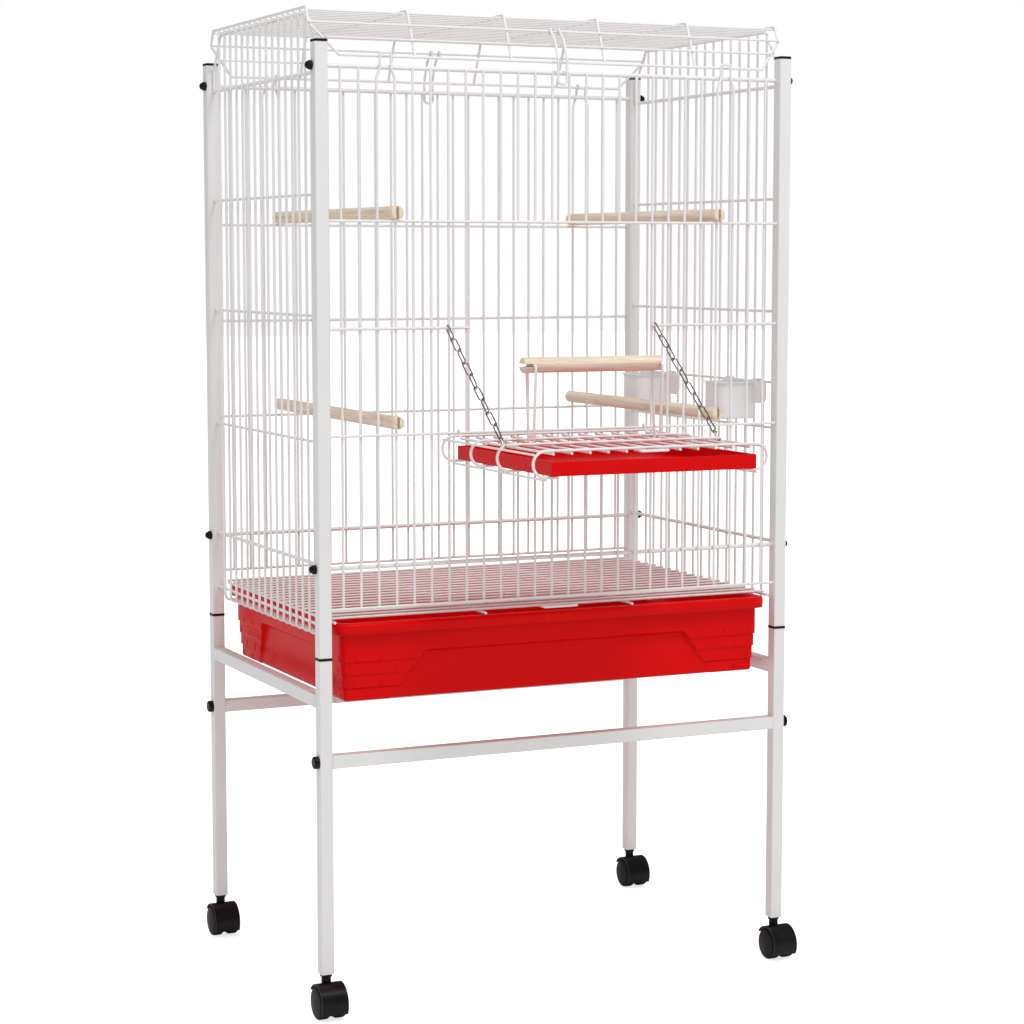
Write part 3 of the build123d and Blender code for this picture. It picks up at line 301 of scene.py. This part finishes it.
class TrayShape:
    """The drawer tray in millimetres, sized from the CAD node's box."""

    BODY_INSET_X = 13.0         # from the lip's edge to the body's left and right faces
    BODY_INSET_Y = 12.0         # and to its front and rear faces
    CORNER = 13.0               # radius of the body's upright corners
    WALL = 2.5
    FOOT_INSET = 2.5            # rounded lower edge
    FOOT_HEIGHT = 3.0

    LIP_HEIGHT = 17.5
    LIP_ROUND = 6.0             # radius of the lip's upper edge
    LIP_CENTRE = 6.5            # from the body's face to the middle of that round

    FIRST_STEP = 61.0           # from the rim down to the first step between rows of bricks
    STEP_COUNT = 3
    ROW_HEIGHT = 20.0
    ROW_STEP = 2.3              # each row stands this far inside the row above
    STEP_FADE = (-0.4, 0.8)     # distances below a step over which it sets the face back
    LINE_DEPTH = 0.8            # fine line along each step
    LINE_HALF = 1.5
    BRICK_LENGTH = 44.0
    BRICK_SHIFT = 9.0           # shift of the joints' pattern away from the face's middle
    JOINT_DEPTH = 1.6           # short upright joint between two bricks
    JOINT_HALF = 2.2
    JOINT_FOOT_FADE = (0.5, 2.0)   # distances above a row's lower edge over which it begins
    JOINT_TOP_FADE = (7.0, 9.0)    # and below the row's upper edge over which it ends
    JOINT_SIDE_FADE = (6.0, 10.0)  # and from the recess's edge over which joints appear

    RECESS_TOP = 48.0           # below the rim
    RECESS_DEPTH = 9.0
    RECESS_OVERLAP = 1.5        # how far the slope into the recess begins outside its edge
    RECESS_SIDE_SLOPE = 7.0
    RECESS_TOP_SLOPE = 6.0
    LONG_RECESS = (224.0, 279.0)   # half lengths at the top and bottom on the long faces
    SHORT_RECESS = (118.0, 150.0)  # and on the short faces

    OUTLINE_STEP = 1.25         # spacing of the mesh round the body
    OUTER_STEP = 0.75           # and up its outside
    INNER_STEP = 5.0            # and down its inside
    ROUND_STEPS = 10            # facets in a quarter turn

    def __init__(self, low, high):
        self.top = high.z / MM
        self.bottom = low.z / MM
        self.body_x = high.x / MM - self.BODY_INSET_X
        self.body_y = high.y / MM - self.BODY_INSET_Y
        self.lip = self.top - self.LIP_HEIGHT
        self.steps = [self.top - (self.FIRST_STEP + self.ROW_HEIGHT * i) for i in range(self.STEP_COUNT)]
        self.recess_top = self.top - self.RECESS_TOP

    def outline(self):
        """Points once round the body, from the front face by way of the right one."""
        faces = [
            (Vector((1, 0)), Vector((0, -1)), self.body_x, self.body_y, True),
            (Vector((0, 1)), Vector((1, 0)), self.body_y, self.body_x, False),
            (Vector((-1, 0)), Vector((0, 1)), self.body_x, self.body_y, True),
            (Vector((0, -1)), Vector((-1, 0)), self.body_y, self.body_x, False),
        ]
        points = []
        for direction, normal, half, reach, is_long in faces:
            straight = half - self.CORNER
            count = round(2 * straight / self.OUTLINE_STEP)
            for i in range(count + 1):
                along = -straight + 2 * straight * i / count
                place = direction * along + normal * reach
                points.append(OutlinePoint(place, normal, along, is_long))
            centre = direction * straight + normal * (reach - self.CORNER)
            for i in range(1, self.ROUND_STEPS):
                angle = math.radians(90) * i / self.ROUND_STEPS
                outward = normal * math.cos(angle) + direction * math.sin(angle)
                points.append(OutlinePoint(centre + outward * self.CORNER, outward, half, is_long))
        return points

    def recess_edge(self, point, z):
        """Half length at a height of the trapezoid recess in the middle of a face."""
        top_half, bottom_half = self.LONG_RECESS if point.is_long else self.SHORT_RECESS
        share = (self.recess_top - z) / (self.recess_top - self.bottom)
        return top_half + (bottom_half - top_half) * share

    def recess_share(self, point, z):
        """One in the recess, zero outside it."""
        from_side = self.recess_edge(point, z) - abs(point.along)
        from_top = self.recess_top - z
        side = smooth_step(from_side, -self.RECESS_OVERLAP, self.RECESS_SIDE_SLOPE)
        return side * smooth_step(from_top, -self.RECESS_OVERLAP, self.RECESS_TOP_SLOPE)

    def brick_joints(self, point, z):
        """Depth of the short upright joints between the bricks beside the recess."""
        along = abs(point.along)
        beside = smooth_step(along - self.recess_edge(point, z), *self.JOINT_SIDE_FADE)
        edges = [self.steps[0] + self.ROW_HEIGHT] + self.steps + [self.bottom]
        depth = 0.0
        for row, (high, low) in enumerate(zip(edges, edges[1:])):
            if low < z <= high:
                shift = self.BRICK_SHIFT + (row % 2) * self.BRICK_LENGTH / 2
                nearest = (along - shift) % self.BRICK_LENGTH - self.BRICK_LENGTH / 2
                foot = smooth_step(z - low, *self.JOINT_FOOT_FADE)
                inside = foot * smooth_step(high - z, *self.JOINT_TOP_FADE)
                depth = self.JOINT_DEPTH * groove(nearest, self.JOINT_HALF) * inside
        return depth * beside

    def set_back(self, z):
        """How far the rows of bricks stand inside the body's face at a height."""
        total = 0.0
        for height in self.steps:
            total += self.ROW_STEP * smooth_step(height - z, *self.STEP_FADE)
            total += self.LINE_DEPTH * groove(z - height, self.LINE_HALF)
        return total

    def outer(self, point, z):
        """Place on the outside of the body at a height."""
        share = self.recess_share(point, z)
        inset = share * self.RECESS_DEPTH + (1.0 - share) * self.set_back(z)
        inset += self.brick_joints(point, z)
        foot = 1.0 - smooth_step(z - self.bottom, 0.0, self.FOOT_HEIGHT)
        inset += self.FOOT_INSET * foot ** 2
        return point.place - point.normal * inset

    def inner(self, point, z):
        """Place on the inside of the body at a height, a wall's thickness in."""
        slope = smooth_step(self.steps[0] - z, 0.0, self.STEP_COUNT * self.ROW_HEIGHT)
        inset = self.STEP_COUNT * self.ROW_STEP * slope
        inset = max(inset, self.RECESS_DEPTH * self.recess_share(point, z))
        return point.place - point.normal * (self.WALL + inset)

    def lip_profile(self):
        """(offset from the body's face, height) from under the lip, round it and to the inside."""
        lip = self.lip
        points = [(0.0, lip + 2.0), (9.0, lip + 1.5), (10.5, lip + 0.4), (11.4, lip), (12.2, lip + 0.6)]
        for i in range(self.ROUND_STEPS + 1):
            angle = math.radians(90) * i / self.ROUND_STEPS
            offset = self.LIP_CENTRE + self.LIP_ROUND * math.cos(angle)
            height = self.top - self.LIP_ROUND + self.LIP_ROUND * math.sin(angle)
            points.append((offset, height))
        points += [(2.0, self.top), (-1.0, self.top - 0.6), (-2.6, self.top - 3.0)]
        return points

    def column(self, point):
        """The skin's section at a point of the outline: up the outside, over the lip, down inside."""
        outer_count = int((self.lip - self.bottom) / self.OUTER_STEP) + 1
        outer_heights = [self.bottom + self.OUTER_STEP * i for i in range(outer_count)]
        inner_top = self.top - self.LIP_ROUND
        inner_count = int((inner_top - self.bottom) / self.INNER_STEP)
        inner_heights = [inner_top - self.INNER_STEP * i for i in range(inner_count)]
        column = [(*self.outer(point, z), z) for z in outer_heights]
        column += [(*(point.place + point.normal * offset), z) for offset, z in self.lip_profile()]
        column += [(*self.inner(point, z), z) for z in inner_heights]
        column.append((*self.inner(point, self.bottom), self.bottom + self.WALL))
        return [Vector(corner) for corner in column]


def tray_mesh(shape):
    """Closed skin: each column of vertices joined to the next, and the floor's two sides filled."""
    work = bmesh.new()
    columns = []
    for point in shape.outline():
        columns.append([work.verts.new(corner * MM) for corner in shape.column(point)])
    for column, following in zip(columns, columns[1:] + columns[:1]):
        for i in range(len(column) - 1):
            work.faces.new((column[i], following[i], following[i + 1], column[i + 1]))
    work.faces.new([column[0] for column in reversed(columns)])
    work.faces.new([column[-1] for column in columns])
    mesh = bpy.data.meshes.new("drawer_tray_skin")
    work.to_mesh(mesh)
    work.free()
    return mesh


def add_drawer_tray(material):
    mesh = tray_mesh(TrayShape(*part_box("drawer_tray")))
    dress(mesh, material, TRAY_SHARP_ANGLE)
    tray = bpy.data.objects.new("drawer_tray_skin", mesh)
    bpy.context.scene.collection.objects.link(tray)
    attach(tray, "drawer_tray")
    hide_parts("drawer_tray")


# ---- studio ----
def floor_material():
    """Pale floor that the camera sees as white, so that it runs into the white surroundings."""
    material, tree, shader = new_material("studio_floor")
    stops = [(0.0, (0.78, 0.78, 0.78)), (1.0, (0.80, 0.80, 0.80))]
    tone = ramp(tree, noise(tree, coordinates(tree), scale=0.5), stops)
    tree.links.new(tone, shader.inputs["Base Color"])
    shader.inputs["Roughness"].default_value = 0.9
    shader.inputs["Specular IOR Level"].default_value = 0.1
    shader.inputs["Emission Color"].default_value = (1.0, 1.0, 1.0, 1.0)
    path = tree.nodes.new("ShaderNodeLightPath")
    glow = level(tree, path.outputs["Is Camera Ray"], low=0.0, high=FLOOR_GLOW)
    tree.links.new(glow, shader.inputs["Emission Strength"])
    return material


def add_floor():
    work = bmesh.new()
    bmesh.ops.create_grid(work, x_segments=1, y_segments=1, size=FLOOR_HALF)
    mesh = bpy.data.meshes.new("studio_floor")
    work.to_mesh(mesh)
    work.free()
    mesh.materials.append(floor_material())
    floor = bpy.data.objects.new("studio_floor", mesh)
    floor.location.z = CAD_BOX[0].z
    bpy.context.scene.collection.objects.link(floor)


def studio_world():
    """White surroundings that light the cage less than they show."""
    world = bpy.data.worlds.new("studio_world")
    world.use_nodes = True
    tree = world.node_tree
    background = tree.nodes["Background"]
    background.inputs["Color"].default_value = (1.0, 1.0, 1.0, 1.0)
    path = tree.nodes.new("ShaderNodeLightPath")
    seen = level(tree, path.outputs["Is Camera Ray"], low=SKY_LIGHT, high=1.0)
    shine = level(tree, path.outputs["Is Glossy Ray"], low=1.0, high=SKY_SHINE / SKY_LIGHT)
    product = tree.nodes.new("ShaderNodeMath")
    product.operation = "MULTIPLY"
    tree.links.new(seen, product.inputs[0])
    tree.links.new(shine, product.inputs[1])
    tree.links.new(product.outputs["Value"], background.inputs["Strength"])
    return world


def add_key_light():
    data = bpy.data.lights.new("key", "AREA")
    data.shape = "SQUARE"
    data.size = KEY_SIZE
    data.energy = KEY_POWER
    light = bpy.data.objects.new("key", data)
    light.location = KEY_PLACE
    aim = Vector(KEY_AIM) - Vector(KEY_PLACE)
    light.rotation_euler = aim.to_track_quat("-Z", "Y").to_euler()
    bpy.context.scene.collection.objects.link(light)


def add_studio():
    add_floor()
    bpy.context.scene.world = studio_world()
    bpy.context.scene.view_settings.view_transform = "Standard"
    add_key_light()


add_camera()
finishes = slot_finishes()
dress_nodes(finishes)
add_drawer_tray(finishes["red_plastic"])
add_studio()
